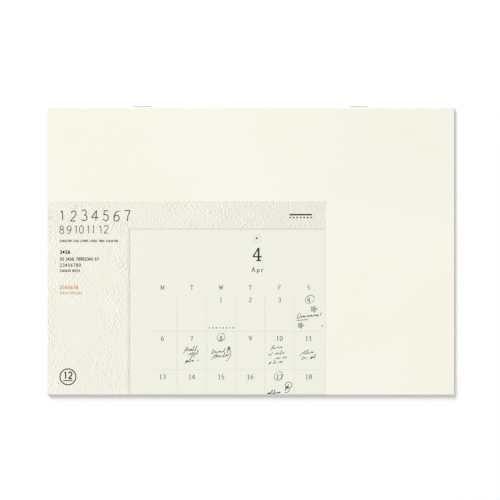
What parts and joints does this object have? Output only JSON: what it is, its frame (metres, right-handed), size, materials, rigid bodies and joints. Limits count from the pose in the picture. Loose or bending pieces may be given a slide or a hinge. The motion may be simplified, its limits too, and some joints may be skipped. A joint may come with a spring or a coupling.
{
  "type": "wall calendar",
  "caption": "Closed wall calendar folded to A4, stapled through its fold, with a cover that opens, a hanging hole and a printed label sheet lying on the front.",
  "frame": {"origin": "under the middle of the closed calendar, on the surface it lies on", "axes": "+X along the stapled fold, to the right as the cover is read; +Y from the free edge to the stapled fold, up as the cover is read; +Z out of the front cover"},
  "size_m": [0.297, 0.2104, 0.0028],
  "materials": {
    "page_paper": "matt cream writing paper",
    "cover_paper": "matt cream cover stock",
    "staple_steel": "plain steel wire",
    "label_paper": "coated paper printed with a rough plaster tone",
    "picture_ink": "printed field, pale green grey",
    "dark_ink": "printed ink, near black",
    "grey_ink": "printed ink, dark grey",
    "line_ink": "printed hairline, light grey",
    "accent_ink": "printed ink, orange",
    "pen_ink": "printed pen line, black"
  },
  "bodies": {
    "leaves": {"page_block": "page_paper", "cover_back": "cover_paper", "staple_left": "staple_steel", "staple_right": "staple_steel", "first_page_print": "grey_ink"},
    "front_cover": {"cover_front": "cover_paper", "cover_inside_print": "grey_ink", "label_sheet": "label_paper", "label_heading": "dark_ink", "label_text": "dark_ink", "label_accent": "accent_ink", "label_seal": "dark_ink", "label_corner_dots": "dark_ink", "picture_field": "picture_ink", "picture_grid": "line_ink", "picture_weekdays": "grey_ink", "picture_dates": "grey_ink", "picture_month": "dark_ink", "picture_pin": "grey_ink", "picture_rings": "pen_ink", "picture_notes": "pen_ink"}
  },
  "joints": [
    {"name": "cover_crease", "type": "hinge", "parent": "leaves", "child": "front_cover", "pos_m": [0, 0.1034, 0.00269], "axis": [-1, 0, 0], "range_deg": [0, 179]}
  ]
}
